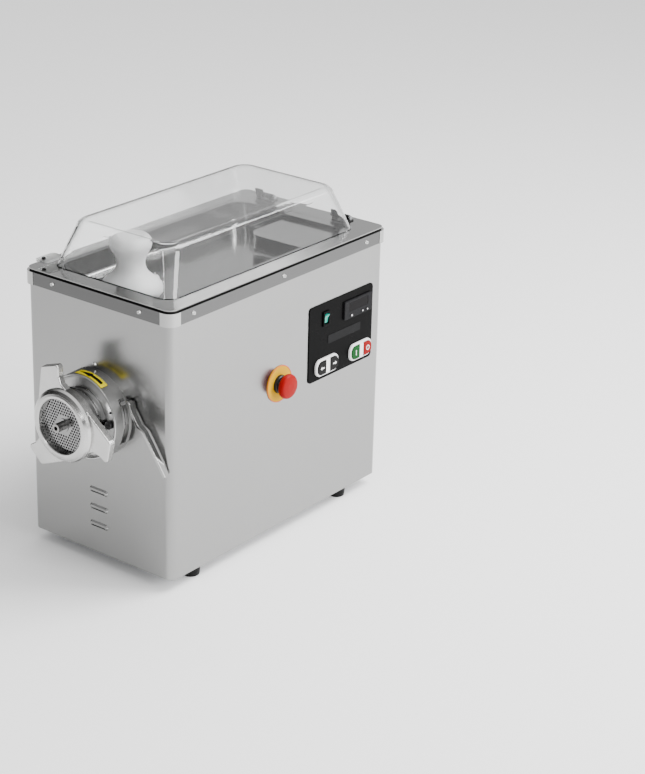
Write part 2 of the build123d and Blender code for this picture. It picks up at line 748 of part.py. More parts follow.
MOTOR_R = 72.0
MOTOR_LOW, MOTOR_HIGH = -440.0, -254.0
ROTOR_R = 42.0
with BuildPart() as motor_rotor:
    with BuildSketch(HEAD.offset(FIRST_LOW - 1)):
        with Locations((MOTOR_X, MOTOR_Z)):
            add(gear_outline(MOTOR_TEETH, FIRST_MODULE, to_lay))
    extrude(amount=FIRST_HIGH - FIRST_LOW + 2)
    with BuildSketch(HEAD.offset(MOTOR_LOW - 18)):
        with Locations((MOTOR_X, MOTOR_Z)):
            Circle(9.95)
    extrude(amount=FIRST_HIGH - MOTOR_LOW + 18 + 10)
    with BuildSketch(HEAD.offset(MOTOR_LOW + 34)):
        with Locations((MOTOR_X, MOTOR_Z)):
            Circle(ROTOR_R)
    extrude(amount=MOTOR_HIGH - MOTOR_LOW - 68)
motor_rotor.part.label = "motor_rotor"
export_step(motor_rotor.part, "parts/motor_rotor.step")

with BuildPart() as motor_housing:
    with BuildSketch(HEAD.offset(MOTOR_LOW)):
        with Locations((MOTOR_X, MOTOR_Z)):
            Circle(MOTOR_R - 6)
            with PolarLocations(MOTOR_R - 6, 24):
                Rectangle(12, 2.4)
    extrude(amount=MOTOR_HIGH - MOTOR_LOW)
    with BuildSketch(HEAD.offset(MOTOR_LOW + 10)):
        with Locations((MOTOR_X, MOTOR_Z)):
            Circle(ROTOR_R + 14)
    extrude(amount=MOTOR_HIGH - MOTOR_LOW - 20, mode=Mode.SUBTRACT)
    with BuildSketch(HEAD.offset(MOTOR_LOW)):
        with Locations((MOTOR_X, MOTOR_Z)):
            Circle(10.0)
    extrude(amount=MOTOR_HIGH - MOTOR_LOW, mode=Mode.SUBTRACT)
motor_housing.part.label = "motor_housing"
export_step(motor_housing.part, "parts/motor_housing.step")

with BuildPart() as motor_stator:
    with BuildSketch(HEAD.offset(MOTOR_LOW + 38)):
        with Locations((MOTOR_X, MOTOR_Z)):
            Circle(ROTOR_R + 13.9)
            Circle(ROTOR_R + 0.7, mode=Mode.SUBTRACT)
    extrude(amount=MOTOR_HIGH - MOTOR_LOW - 76)
motor_stator.part.label = "motor_stator"
export_step(motor_stator.part, "parts/motor_stator.step")

BOX_BACK, BOX_FRONT = -252.0, -160.0
BOX_WALL = 6.0
BOX_X, BOX_Z = 17.0, -33.0  # middle of the gearbox, from the head axis
BOX_W, BOX_H = 182.0, 212.0

with BuildPart() as gearbox_housing:
    with BuildSketch(HEAD.offset(BOX_BACK)):
        with Locations((BOX_X, BOX_Z)):
            RectangleRounded(BOX_W, BOX_H, 14)
    extrude(amount=BOX_FRONT - BOX_BACK)
    with BuildSketch(HEAD.offset(BOX_BACK + 16)):
        with Locations((BOX_X, BOX_Z)):
            RectangleRounded(BOX_W - 2 * BOX_WALL, BOX_H - 2 * BOX_WALL, 9)
    extrude(amount=BOX_FRONT - BOX_BACK - 28, mode=Mode.SUBTRACT)
    # bearing seats through both end walls
    with BuildSketch(HEAD.offset(BOX_BACK)):
        with Locations((0, 0)):
            Circle(24.0)
        with Locations((LAY_X, LAY_Z), (MOTOR_X, MOTOR_Z)):
            Circle(21.0)
    extrude(amount=18, mode=Mode.SUBTRACT)
    with BuildSketch(HEAD.offset(BOX_FRONT - 14)):
        Circle(30.0)
    extrude(amount=15, mode=Mode.SUBTRACT)
    with BuildSketch(HEAD.offset(BOX_FRONT - 13)):
        with Locations((LAY_X, LAY_Z)):
            Circle(12.0)
    extrude(amount=15, mode=Mode.SUBTRACT)
gearbox_housing.part.label = "gearbox_housing"
export_step(gearbox_housing.part, "parts/gearbox_housing.step")


def bearing(x, y, low, high, inner, outer):
    """A plain bearing ring on the head's plane."""
    with BuildPart() as ring:
        with BuildSketch(HEAD.offset(low)):
            with Locations((x, y)):
                Circle(outer)
                Circle(inner, mode=Mode.SUBTRACT)
        extrude(amount=high - low)
    return ring.part


with BuildPart() as gearbox_bearings:
    add(bearing(0, 0, BOX_BACK + 4, BOX_BACK + 16, 15.0, 24.0))
    add(bearing(0, 0, BOX_FRONT - 12, BOX_FRONT, 20.05, 30.0))
    add(bearing(LAY_X, LAY_Z, BOX_BACK + 4, BOX_BACK + 16, 10.0, 21.0))
    add(bearing(LAY_X, LAY_Z, BOX_FRONT - 12, BOX_FRONT - 2, 10.0, 12.0))
    add(bearing(MOTOR_X, MOTOR_Z, BOX_BACK + 4, BOX_BACK + 16, 10.0, 21.0))
gearbox_bearings.part.label = "gearbox_bearings"
export_step(gearbox_bearings.part, "parts/gearbox_bearings.step")

# ---- cooling unit and control box ---------------------------------------------------------------
SHELF_Z = 236.0
with BuildPart() as unit_shelf:
    with BuildSketch(BASE.offset(SHELF_Z)):
        with Locations((0, 128)):
            RectangleRounded(CASE_W - 2 * SHEET - 2, 250, 10)
    extrude(amount=2)
unit_shelf.part.label = "unit_shelf"
export_step(unit_shelf.part, "parts/unit_shelf.step")

with BuildPart() as compressor:
    with BuildSketch(BASE.offset(SHELF_Z + 10)):
        with Locations((-40, 70)):
            Circle(58)
    extrude(amount=118)
    fillet(compressor.edges().filter_by(GeomType.CIRCLE), 26)
    with BuildSketch(BASE.offset(SHELF_Z + 2)):
        with Locations((-40, 70)):
            Rectangle(120, 34)
    extrude(amount=16)
compressor.part.label = "compressor"
export_step(compressor.part, "parts/compressor.step")

FAN_Z = SHELF_Z + 90
FAN_R = 62.0
with BuildPart() as condenser:
    with BuildSketch(BASE.offset(SHELF_Z + 2)):
        with Locations((0, 226)):
            Rectangle(180, 34)
    extrude(amount=6)
    with BuildSketch(BASE.offset(SHELF_Z + 8)):
        with Locations((0, 226)):
            with GridLocations(8, 0, 22, 1):
                Rectangle(1.6, 34)
    extrude(amount=158)
    with BuildSketch(BASE.offset(SHELF_Z + 166)):
        with Locations((0, 226)):
            Rectangle(180, 34)
    extrude(amount=4)
condenser.part.label = "condenser"
export_step(condenser.part, "parts/condenser.step")

FAN_PLANE = Plane(origin=(CX, CY + 196, FAN_Z), x_dir=(-1, 0, 0), z_dir=(0, 1, 0))
with BuildPart() as condenser_fan:
    with BuildSketch(FAN_PLANE.offset(-6)):
        Circle(17)
        with PolarLocations(36, 5):
            Rectangle(46, 20)
    extrude(amount=5)
    with BuildSketch(FAN_PLANE.offset(-12)):
        Circle(14)
    extrude(amount=12)
    with BuildSketch(FAN_PLANE.offset(-12)):
        Circle(3.05)
    extrude(amount=12, mode=Mode.SUBTRACT)
condenser_fan.part.label = "condenser_fan"
export_step(condenser_fan.part, "parts/condenser_fan.step")

with BuildPart() as fan_shroud:
    with BuildSketch(FAN_PLANE.offset(-12)):
        Rectangle(2 * FAN_R + 10, 2 * FAN_R + 10)
        Circle(FAN_R, mode=Mode.SUBTRACT)
    extrude(amount=22)
    with BuildSketch(FAN_PLANE.offset(2)):
        Rectangle(2 * FAN_R + 6, 8)
        Rectangle(8, 2 * FAN_R + 6)
        Circle(15)
    extrude(amount=8)
    with BuildSketch(FAN_PLANE.offset(-12)):
        Circle(3)
    extrude(amount=16)
fan_shroud.part.label = "fan_shroud"
export_step(fan_shroud.part, "parts/fan_shroud.step")

with BuildPart() as control_box:
    with BuildSketch(BASE.offset(Z0 + 2)):
        with Locations((-112, -30)):
            RectangleRounded(46, 150, 4)
    extrude(amount=96)
control_box.part.label = "control_box"
export_step(control_box.part, "parts/control_box.step")

# ---- control panel ------------------------------------------------------------------------------
FASCIA_T = 1.6
with BuildPart() as panel_fascia:
    with BuildSketch(SIDE):
        with Locations((PANEL_Y, Z0 + PANEL_UP)):
            RectangleRounded(PANEL_W, PANEL_H, 7)
        with Locations((THERMO_Y, Z0 + THERMO_UP)):
            Rectangle(70, 28, mode=Mode.SUBTRACT)
        with Locations((ROCKER_Y, Z0 + ROCKER_UP)):
            Rectangle(13, 20, mode=Mode.SUBTRACT)
        with Locations(*[(y, Z0 + BUTTON_UP) for y in BUTTON_YS]):
            Rectangle(44, 21, mode=Mode.SUBTRACT)
    extrude(amount=FASCIA_T)
    fillet(panel_fascia.faces().sort_by(Axis.X)[-1].outer_wire().edges(), 0.6)
panel_fascia.part.label = "panel_fascia"
export_step(panel_fascia.part, "parts/panel_fascia.step")

THERMO_OUT = 3.2
KEY_OUT = 0.5
KEY_YS = (-18.0, 11.0, 23.5)  # from the thermostat's middle
KEY_Z = -11.0
WINDOW_W = 50.0
WINDOW_H = 15.0
with BuildPart() as thermostat_body:
    with BuildSketch(SIDE.offset(FASCIA_T)):
        with Locations((THERMO_Y, Z0 + THERMO_UP)):
            RectangleRounded(THERMO_W, THERMO_H, 3)
    extrude(amount=THERMO_OUT)
    fillet(thermostat_body.faces().sort_by(Axis.X)[-1].outer_wire().edges(), 1.0)
    with BuildSketch(SIDE.offset(FASCIA_T - 45)):
        with Locations((THERMO_Y, Z0 + THERMO_UP)):
            Rectangle(69, 27)
    extrude(amount=45)
    # seat of the display window, and the wells of the keys
    with BuildSketch(SIDE.offset(FASCIA_T + THERMO_OUT - 1.2)):
        with Locations((THERMO_Y, Z0 + THERMO_UP + 4.0)):
            RectangleRounded(WINDOW_W + 0.2, WINDOW_H + 0.2, 1.6)
    extrude(amount=2, mode=Mode.SUBTRACT)
    with BuildSketch(SIDE.offset(FASCIA_T - 2)):
        with Locations(*[(THERMO_Y + y, Z0 + THERMO_UP + KEY_Z) for y in KEY_YS]):
            SlotOverall(8.4, 4.4)
    extrude(amount=THERMO_OUT + 3, mode=Mode.SUBTRACT)
thermostat_body.part.label = "thermostat_body"
export_step(thermostat_body.part, "parts/thermostat_body.step")

with BuildPart() as thermostat_window:
    with BuildSketch(SIDE.offset(FASCIA_T + THERMO_OUT - 1.2)):
        with Locations((THERMO_Y, Z0 + THERMO_UP + 4.0)):
            RectangleRounded(WINDOW_W, WINDOW_H, 1.5)
    extrude(amount=0.9)
thermostat_window.part.label = "thermostat_window"
export_step(thermostat_window.part, "parts/thermostat_window.step")

for number, y in enumerate(KEY_YS, start=1):
    with BuildPart() as thermostat_key:
        with BuildSketch(SIDE.offset(FASCIA_T - 0.6)):
            with Locations((THERMO_Y + y, Z0 + THERMO_UP + KEY_Z)):
                SlotOverall(7.8, 3.8)
        extrude(amount=THERMO_OUT + 0.6 + KEY_OUT)
    thermostat_key.part.label = f"thermostat_key_{number}"
    export_step(thermostat_key.part, f"parts/thermostat_key_{number}.step")

ROCKER_FRAME_OUT = 2.4
ROCKER_GAP = 10.8
ROCKER_W = 10.0
ROCKER_IN = 2.0  # the rocker's pin, behind the wall
ROCKER_SECTION = Plane(
    origin=SIDE.from_local_coords((ROCKER_Y, Z0 + ROCKER_UP, 0)), x_dir=(0, 0, 1), z_dir=(0, 1, 0)
)
with BuildPart() as rocker_frame:
    with BuildSketch(SIDE.offset(FASCIA_T)):
        with Locations((ROCKER_Y, Z0 + ROCKER_UP)):
            RectangleRounded(17, 25, 1.5)
    extrude(amount=ROCKER_FRAME_OUT)
    with BuildSketch(SIDE.offset(FASCIA_T - 20)):
        with Locations((ROCKER_Y, Z0 + ROCKER_UP)):
            Rectangle(12.8, 19.8)
    extrude(amount=20)
    with BuildSketch(SIDE.offset(FASCIA_T - 14)):
        with Locations((ROCKER_Y, Z0 + ROCKER_UP)):
            Rectangle(ROCKER_GAP, 17.8)
    extrude(amount=20, mode=Mode.SUBTRACT)
    with BuildSketch(ROCKER_SECTION.offset(-ROCKER_GAP / 2)):
        with Locations((0, -ROCKER_IN)):
            Circle(1.0)
    extrude(amount=ROCKER_GAP)
    fillet(rocker_frame.faces().sort_by(Axis.X)[-1].outer_wire().edges(), 0.8)
rocker_frame.part.label = "rocker_frame"
export_step(rocker_frame.part, "parts/rocker_frame.step")

# The rocker turns on the pin of its frame; its face is a shallow hollow.
with BuildPart() as rocker:
    with BuildSketch(ROCKER_SECTION.offset(-ROCKER_W / 2)):
        with BuildLine():
            top = (6.8, 5.8)
            low = (-7.4, 1.6)
            Spline(low, (0, 2.6), top)
            Polyline(top, (6.8, -5), (-7.2, -6), low)
        make_face()
        with Locations((0, -ROCKER_IN)):
            Circle(1.05, mode=Mode.SUBTRACT)
    extrude(amount=ROCKER_W)
rocker.part.label = "rocker"
export_step(rocker.part, "parts/rocker.step")

BEZEL_W, BEZEL_H = 58.0, 29.0
BEZEL_OUT = 4.0
CAP_SHIFT = 16.0  # each button's middle from the bezel's middle
CAP_OUT = 6.0
PUSH_TRAVEL = 2.5

with BuildPart() as button_bezels:
    with BuildSketch(SIDE.offset(FASCIA_T)):
        with Locations(*[(y, Z0 + BUTTON_UP) for y in BUTTON_YS]):
            RectangleRounded(BEZEL_W, BEZEL_H, 12)
    extrude(amount=BEZEL_OUT)
    fillet(button_bezels.faces().filter_by(Axis.X).sort_by(Axis.X)[-2:].edges(), 2.2)
    with BuildSketch(SIDE.offset(FASCIA_T - 24)):
        with Locations(*[(y, Z0 + BUTTON_UP) for y in BUTTON_YS]):
            Rectangle(43.6, 20.6)
    extrude(amount=24.4)
    with BuildSketch(SIDE.offset(FASCIA_T - 22)):
        for y in BUTTON_YS:
            with Locations((y - CAP_SHIFT, Z0 + BUTTON_UP), (y + CAP_SHIFT, Z0 + BUTTON_UP)):
                Rectangle(11.4, 18)
    extrude(amount=22.6, mode=Mode.SUBTRACT)
    with BuildSketch(SIDE.offset(FASCIA_T + 0.4)):
        for y in BUTTON_YS:
            with Locations((y, Z0 + BUTTON_UP)):
                RectangleRounded(BEZEL_W - 6, BEZEL_H - 6, 9.5)
    extrude(amount=BEZEL_OUT, mode=Mode.SUBTRACT)
button_bezels.part.label = "button_bezels"
export_step(button_bezels.part, "parts/button_bezels.step")

LENS_W = 10.4
with BuildPart() as button_lenses:
    with BuildSketch(SIDE.offset(FASCIA_T + 0.4)):
        with Locations(*[(y, Z0 + BUTTON_UP) for y in BUTTON_YS]):
            Rectangle(LENS_W, BEZEL_H - 6.4)
    extrude(amount=BEZEL_OUT + 0.6)
    fillet(button_lenses.faces().filter_by(Axis.X).sort_by(Axis.X)[-2:].edges(), 0.8)
button_lenses.part.label = "button_lenses"
export_step(button_lenses.part, "parts/button_lenses.step")


def push_button(name, y, side):
    """One half of a double push button: a cap with a rounded outer end, and its stem."""
    inner = LENS_W / 2 + 0.3
    with BuildPart() as cap:
        with BuildSketch(SIDE.offset(FASCIA_T + 0.4 + PUSH_TRAVEL + 0.2)):
            with Locations((y, Z0 + BUTTON_UP)):
                RectangleRounded(BEZEL_W - 6.6, BEZEL_H - 6.6, 9.2)
            with Locations((y - side * (BEZEL_W / 2 - inner), Z0 + BUTTON_UP)):
                Rectangle(BEZEL_W, BEZEL_H, mode=Mode.SUBTRACT)
        extrude(amount=CAP_OUT - PUSH_TRAVEL - 0.6)
        fillet(cap.faces().sort_by(Axis.X)[-1].edges(), 0.9)
        with BuildSketch(SIDE.offset(FASCIA_T - 15)):
            with Locations((y + side * CAP_SHIFT, Z0 + BUTTON_UP)):
                Rectangle(10.6, 16)
        extrude(amount=15 + PUSH_TRAVEL + 1)
    cap.part.label = name
    export_step(cap.part, f"parts/{name}.step")


push_button("reverse_button", BUTTON_YS[0], -1)
push_button("forward_button", BUTTON_YS[0], 1)
push_button("start_button", BUTTON_YS[1], -1)
push_button("stop_button", BUTTON_YS[1], 1)

# ---- emergency stop -----------------------------------------------------------------------------
ESTOP = Plane(origin=SIDE.from_local_coords((ESTOP_Y, Z0 + ESTOP_UP, 0)), x_dir=(0, 1, 0), z_dir=(1, 0, 0))
ESTOP_SECTION = Plane(origin=ESTOP.origin, x_dir=(1, 0, 0), z_dir=(0, -1, 0))
ESTOP_LINE = Axis(ESTOP.origin, (1, 0, 0))
LABEL_R = 30.0

with BuildPart() as estop_label:
    with BuildSketch(ESTOP):
        Circle(LABEL_R)
        Circle(11.3, mode=Mode.SUBTRACT)
    extrude(amount=1.2)
    fillet(estop_label.faces().sort_by(Axis.X)[-1].outer_wire().edges(), 0.5)
estop_label.part.label = "estop_label"
export_step(estop_label.part, "parts/estop_label.step")

with BuildPart() as estop_collar:
    add(
        turned(
            ESTOP_SECTION,
            ESTOP_LINE,
            [(-38, 8.3), (-38, 11.0), (1.2, 11.0), (1.2, 15.0), (5.0, 14.4), (6.2, 13.4), (6.2, 8.3)],
        )
    )
estop_collar.part.label = "estop_collar"
export_step(estop_collar.part, "parts/estop_collar.step")

with BuildPart() as estop_stem:
    add(turned(ESTOP_SECTION, ESTOP_LINE, [(-30, 0), (-30, 8.0), (12, 8.0), (12, 5.0), (17.5, 5.0), (17.5, 0)]))
estop_stem.part.label = "estop_stem"
export_step(estop_stem.part, "parts/estop_stem.step")

mushroom_outline = [
    (12.2, 5.1),
    (12.2, 16.6),
    (14.0, 19.2),
    (17.0, 20.0),
    (20.5, 19.2),
    (22.6, 17.4),
    (ESTOP_OUT - 0.6, 13.0),
    (ESTOP_OUT, 7.0),
    (ESTOP_OUT, 0.0),
    (17.7, 0.0),
    (17.7, 5.1),
]
with BuildPart() as estop_mushroom:
    add(turned(ESTOP_SECTION, ESTOP_LINE, mushroom_outline))
estop_mushroom.part.label = "estop_mushroom"
export_step(estop_mushroom.part, "parts/estop_mushroom.step")

# ---- feed tray ----------------------------------------------------------------------------------
TRAY_W, TRAY_L = 293.0, 519.0
WELL = Plane(origin=(CX - 1, CY - 14, 0))
WELL_W, WELL_L, WELL_R = 222.0, 428.0, 30.0
WELL_DEEP = 36.0
PLATFORM_W, PLATFORM_L = 122.0, 102.0  # shallow platform in the rear right corner of the well
PLATFORM_DEEP = 6.0
PLATFORM_X = (WELL_W - PLATFORM_W) / 2
PLATFORM_Y = (WELL_L - PLATFORM_L) / 2
THROAT_Y = -CASE_L / 2 + INLET_DEEP
WELL_FLOOR = TRAY_TOP - WELL_DEEP
THROAT_R = 26.5
THROAT = Plane(origin=(CX + AXIS_X, CY + THROAT_Y, 0))


def well_block(deep, grow):
    """The L-shaped deep part of the well, from the tray's top down, grown outwards for its skin."""
    with BuildPart() as block:
        with BuildSketch(WELL.offset(TRAY_TOP)):
            RectangleRounded(WELL_W, WELL_L, WELL_R)
            with Locations((PLATFORM_X + 20, PLATFORM_Y + 20)):
                RectangleRounded(PLATFORM_W + 40, PLATFORM_L + 40, WELL_R - 4, mode=Mode.SUBTRACT)
            if grow:
                offset(amount=grow)
        extrude(amount=-deep - grow)
        fillet(block.edges().group_by(Axis.Z)[0], 9 + grow)
    return block.part


with BuildPart() as feed_tray:
    with BuildSketch(BASE.offset(Z_TRAY)):
        RectangleRounded(TRAY_W, TRAY_L, 14)
    extrude(amount=SHEET)
    with BuildSketch(WELL.offset(TRAY_TOP)):
        RectangleRounded(WELL_W + 2 * SHEET, WELL_L + 2 * SHEET, WELL_R + SHEET)
    extrude(amount=-PLATFORM_DEEP - SHEET)
    add(well_block(WELL_DEEP, SHEET))
    with BuildSketch(WELL.offset(TRAY_TOP)):
        RectangleRounded(WELL_W + 20, WELL_L + 20, WELL_R + 10)
    extrude(amount=10, mode=Mode.SUBTRACT)
    with BuildSketch(WELL.offset(TRAY_TOP)):
        RectangleRounded(WELL_W, WELL_L, WELL_R)
    extrude(amount=-PLATFORM_DEEP, mode=Mode.SUBTRACT)
    add(well_block(WELL_DEEP, 0), mode=Mode.SUBTRACT)
    with BuildSketch(THROAT.offset(WELL_FLOOR - 10)):
        Circle(THROAT_R)
    extrude(amount=20, mode=Mode.SUBTRACT)
feed_tray.part.label = "feed_tray"
export_step(feed_tray.part, "parts/feed_tray.step")

THROAT_LOW = AXIS_Z + BARREL_R + 4
with BuildPart() as feed_throat:
    with BuildSketch(THROAT.offset(THROAT_LOW)):
        Circle(THROAT_R + 2)
    extrude(amount=WELL_FLOOR - SHEET - THROAT_LOW)
    with BuildSketch(THROAT.offset(WELL_FLOOR - SHEET - 2)):
        Circle(THROAT_R + 9)
    extrude(amount=2)
    with BuildSketch(THROAT.offset(THROAT_LOW)):
        Circle(THROAT_R)
    extrude(amount=WELL_FLOOR - THROAT_LOW, mode=Mode.SUBTRACT)
feed_throat.part.label = "feed_throat"
export_step(feed_throat.part, "parts/feed_throat.step")

# ---- pestle -------------------------------------------------------------------------------------
PESTLE_SECTION = Plane(origin=THROAT.origin, x_dir=(1, 0, 0), z_dir=(0, -1, 0))
PESTLE_TOP = Z0 + 497.0
GUARD_Z = WELL_FLOOR + 0.3
PLUNGER_LOW = WELL_FLOOR - 60.0
with BuildPart() as pestle:
    with BuildSketch(PESTLE_SECTION):
        with BuildLine():
            Polyline((0, PESTLE_TOP), (0, PLUNGER_LOW), (22.0, PLUNGER_LOW), (24.5, PLUNGER_LOW + 4))
            Polyline((24.5, PLUNGER_LOW + 4), (24.5, GUARD_Z), (36, GUARD_Z), (46, GUARD_Z + 9), (47, GUARD_Z + 12))
            Spline(
                (47, GUARD_Z + 12),
                (38, PESTLE_TOP - 67),
                (27, PESTLE_TOP - 57),
                (21.8, PESTLE_TOP - 43),
                (26.0, PESTLE_TOP - 27),
                (32.0, PESTLE_TOP - 14),
                (27.5, PESTLE_TOP - 3.5),
                (16, PESTLE_TOP - 0.4),
            )
            Line((16, PESTLE_TOP - 0.4), (0, PESTLE_TOP))
        make_face()
    revolve(axis=Axis(THROAT.origin, (0, 0, 1)))
pestle.part.label = "pestle"
export_step(pestle.part, "parts/pestle.step")

# ---- clear lid ----------------------------------------------------------------------------------
LID = Plane(origin=(CX - 2, CY - 5, TRAY_TOP + 0.4))
LID_W, LID_L = 240.0, 452.0
LID_TOP_W, LID_TOP_L = 200.0, 404.0
LID_H = 72.0
LID_T = 3.0
LID_FILLET = 16.0


def lid_block(skin):
    """The lid's solid form, drawn in by the skin on the sides and the top."""
    with BuildPart() as block:
        with BuildSketch(LID):
            RectangleRounded(LID_W - 2 * skin, LID_L - 2 * skin, 24 - skin)
        with BuildSketch(LID.offset(LID_H - skin)):
            RectangleRounded(LID_TOP_W - 2 * skin, LID_TOP_L - 2 * skin, 34 - skin)
        loft()
        fillet(block.edges().group_by(Axis.Z)[-1], LID_FILLET - skin)
    return block.part


with BuildPart() as lid_dome:
    add(lid_block(0))
    add(lid_block(LID_T), mode=Mode.SUBTRACT)
lid_dome.part.label = "lid_dome"
export_step(lid_dome.part, "parts/lid_dome.step")

HINGE_X = 78.0  # hinges, each side of the lid's middle
HINGE_Y = LID_L / 2 + 12.0
HINGE_UP = 8.0
PIN = Plane(origin=LID.from_local_coords((0, HINGE_Y, HINGE_UP)), x_dir=(0, 1, 0), z_dir=(1, 0, 0))
KNUCKLE_R = 4.0
HINGE_PIN_R = 2.0


def knuckle(start, end):
    """One hinge barrel on the hinge line between two distances along X."""
    with BuildPart() as barrel:
        with BuildSketch(PIN.offset(start)):
            Circle(KNUCKLE_R)
            Circle(HINGE_PIN_R + 0.05, mode=Mode.SUBTRACT)
        extrude(amount=end - start)
    return barrel.part


with BuildPart() as lid_hinge_brackets:
    for x in (-HINGE_X, HINGE_X):
        for side in (-1, 1):
            near, far = sorted((x + side * 8, x + side * 17))
            add(knuckle(near, far))
            with BuildSketch(PIN.offset(near)):
                with Locations((0, -HINGE_UP / 2 - 1.4)):
                    Rectangle(5.0, HINGE_UP - 3.4)
            extrude(amount=far - near)
        with BuildSketch(LID.offset(-0.4)):
            with Locations((x, HINGE_Y + 4)):
                RectangleRounded(34, 18, 2)
        extrude(amount=1.8)
    # keeps the pins' bores open through the cheeks
    with BuildSketch(PIN.offset(-HINGE_X - 20)):
        Circle(HINGE_PIN_R + 0.05)
    extrude(amount=2 * HINGE_X + 40, mode=Mode.SUBTRACT)
lid_hinge_brackets.part.label = "lid_hinge_brackets"
export_step(lid_hinge_brackets.part, "parts/lid_hinge_brackets.step")

with BuildPart() as lid_hinge_pins:
    for x in (-HINGE_X, HINGE_X):
        with BuildSketch(PIN.offset(x - 18.5)):
            Circle(HINGE_PIN_R)
        extrude(amount=37)
        for start in (x - 20.5, x + 18.5 - 1):
            with BuildSketch(PIN.offset(start)):
                Circle(3.2)
            extrude(amount=3)
lid_hinge_pins.part.label = "lid_hinge_pins"
export_step(lid_hinge_pins.part, "parts/lid_hinge_pins.step")

with BuildPart() as lid_hinge_leaves:
    for x in (-HINGE_X, HINGE_X):
        add(knuckle(x - 7.6, x + 7.6))
        with BuildSketch(PIN.offset(x - 7.6)):
            with BuildLine():
                Polyline((-2, 3.2), (-2, -1.4), (-14.8, 2.0), (-18.9, 14.2), (-16.9, 14.8), (-13.2, 4.4), close=True)
            make_face()
        extrude(amount=15.2)
    with BuildSketch(PIN.offset(-HINGE_X - 20)):
        Circle(HINGE_PIN_R + 0.05)
    extrude(amount=2 * HINGE_X + 40, mode=Mode.SUBTRACT)
lid_hinge_leaves.part.label = "lid_hinge_leaves"
export_step(lid_hinge_leaves.part, "parts/lid_hinge_leaves.step")

TAB_Y = -LID_L / 2 + 4.0
with BuildPart() as lid_lift_tab:
    with BuildSketch(LID.offset(7)):
        with Locations((-LID_W / 2 - 5, TAB_Y)):
            RectangleRounded(24, 40, 7)
    extrude(amount=3)
    add(lid_block(0), mode=Mode.SUBTRACT)
lid_lift_tab.part.label = "lid_lift_tab"
export_step(lid_lift_tab.part, "parts/lid_lift_tab.step")
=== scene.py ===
from math import cos, radians, sin, pi

import bmesh
import bpy
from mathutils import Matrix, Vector


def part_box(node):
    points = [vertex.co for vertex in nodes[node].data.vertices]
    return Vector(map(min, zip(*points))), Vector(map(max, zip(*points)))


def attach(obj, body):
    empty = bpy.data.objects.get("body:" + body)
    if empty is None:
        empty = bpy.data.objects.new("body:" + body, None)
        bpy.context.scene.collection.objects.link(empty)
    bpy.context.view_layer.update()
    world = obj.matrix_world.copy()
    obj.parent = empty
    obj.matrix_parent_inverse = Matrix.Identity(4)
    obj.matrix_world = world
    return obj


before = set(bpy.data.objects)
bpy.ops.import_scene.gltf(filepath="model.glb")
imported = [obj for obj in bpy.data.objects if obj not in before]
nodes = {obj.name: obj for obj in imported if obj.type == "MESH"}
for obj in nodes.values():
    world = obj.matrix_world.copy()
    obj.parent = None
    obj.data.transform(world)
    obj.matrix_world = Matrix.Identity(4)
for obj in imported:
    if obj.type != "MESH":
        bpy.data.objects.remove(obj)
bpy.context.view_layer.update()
MM = 0.001

# ---- camera --------------------------------------------------------------------------------------
camera_data = bpy.data.cameras.new("camera")
camera_data.lens = 97.67
camera = bpy.data.objects.new("camera", camera_data)
camera.location = (2.0075, -2.3218, 1.5337)
camera.rotation_euler = (1.169782, -0.023891, 0.660442)
bpy.context.scene.collection.objects.link(camera)
bpy.context.scene.camera = camera


# ---- material helpers ------------------------------------------------------------------------------
def new_material(name, **sockets):
    """A Principled material whose constant values stand on the shader's own sockets."""
    made = bpy.data.materials.new(name)
    made.use_nodes = True
    shader = made.node_tree.nodes["Principled BSDF"]
    for socket, value in sockets.items():
        label = socket.replace("_", " ").title().replace("Ior", "IOR")
        if isinstance(value, tuple) and len(value) == 3:
            value = (*value, 1.0)
        shader.inputs[label].default_value = value
    return made, made.node_tree, shader


def noise(tree, scale, stretch=(1, 1, 1), detail=3.0, roughness=0.5):
    """Noise in the model's own metres; stretch squeezes it along an axis to draw a grain."""
    place = tree.nodes.new("ShaderNodeTexCoord")
    mapping = tree.nodes.new("ShaderNodeMapping")
    mapping.inputs["Scale"].default_value = stretch
    texture = tree.nodes.new("ShaderNodeTexNoise")
    texture.inputs["Scale"].default_value = scale
    texture.inputs["Detail"].default_value = detail
    texture.inputs["Roughness"].default_value = roughness
    tree.links.new(place.outputs["Object"], mapping.inputs["Vector"])
    tree.links.new(mapping.outputs["Vector"], texture.inputs["Vector"])
    return texture.outputs["Fac"]


def ramp(tree, source, low, high, start=0.3, end=0.7):
    """Maps a noise to a number between low and high."""
    node = tree.nodes.new("ShaderNodeMapRange")
    node.inputs["From Min"].default_value = start
    node.inputs["From Max"].default_value = end
    node.inputs["To Min"].default_value = low
    node.inputs["To Max"].default_value = high
    tree.links.new(source, node.inputs["Value"])
    return node.outputs["Result"]


def blend_colour(tree, source, first, second, start=0.3, end=0.7):
    """Maps a noise to a colour between two."""
    node = tree.nodes.new("ShaderNodeMix")
    node.data_type = "RGBA"
    node.inputs["A"].default_value = (*first, 1)
    node.inputs["B"].default_value = (*second, 1)
    tree.links.new(ramp(tree, source, 0, 1, start, end), node.inputs["Factor"])
    return node.outputs["Result"]


def add_bump(tree, shader, source, strength, distance, under=None):
    """Bump from a height; under is a bump that it stands on."""
    node = tree.nodes.new("ShaderNodeBump")
    node.inputs["Strength"].default_value = strength
    node.inputs["Distance"].default_value = distance
    tree.links.new(source, node.inputs["Height"])
    if under:
        tree.links.new(under.outputs["Normal"], node.inputs["Normal"])
    tree.links.new(node.outputs["Normal"], shader.inputs["Normal"])
    return node


def shade(colour, factor):
    """A lighter or darker version of a colour."""
    return tuple(min(1.0, part * factor) for part in colour)


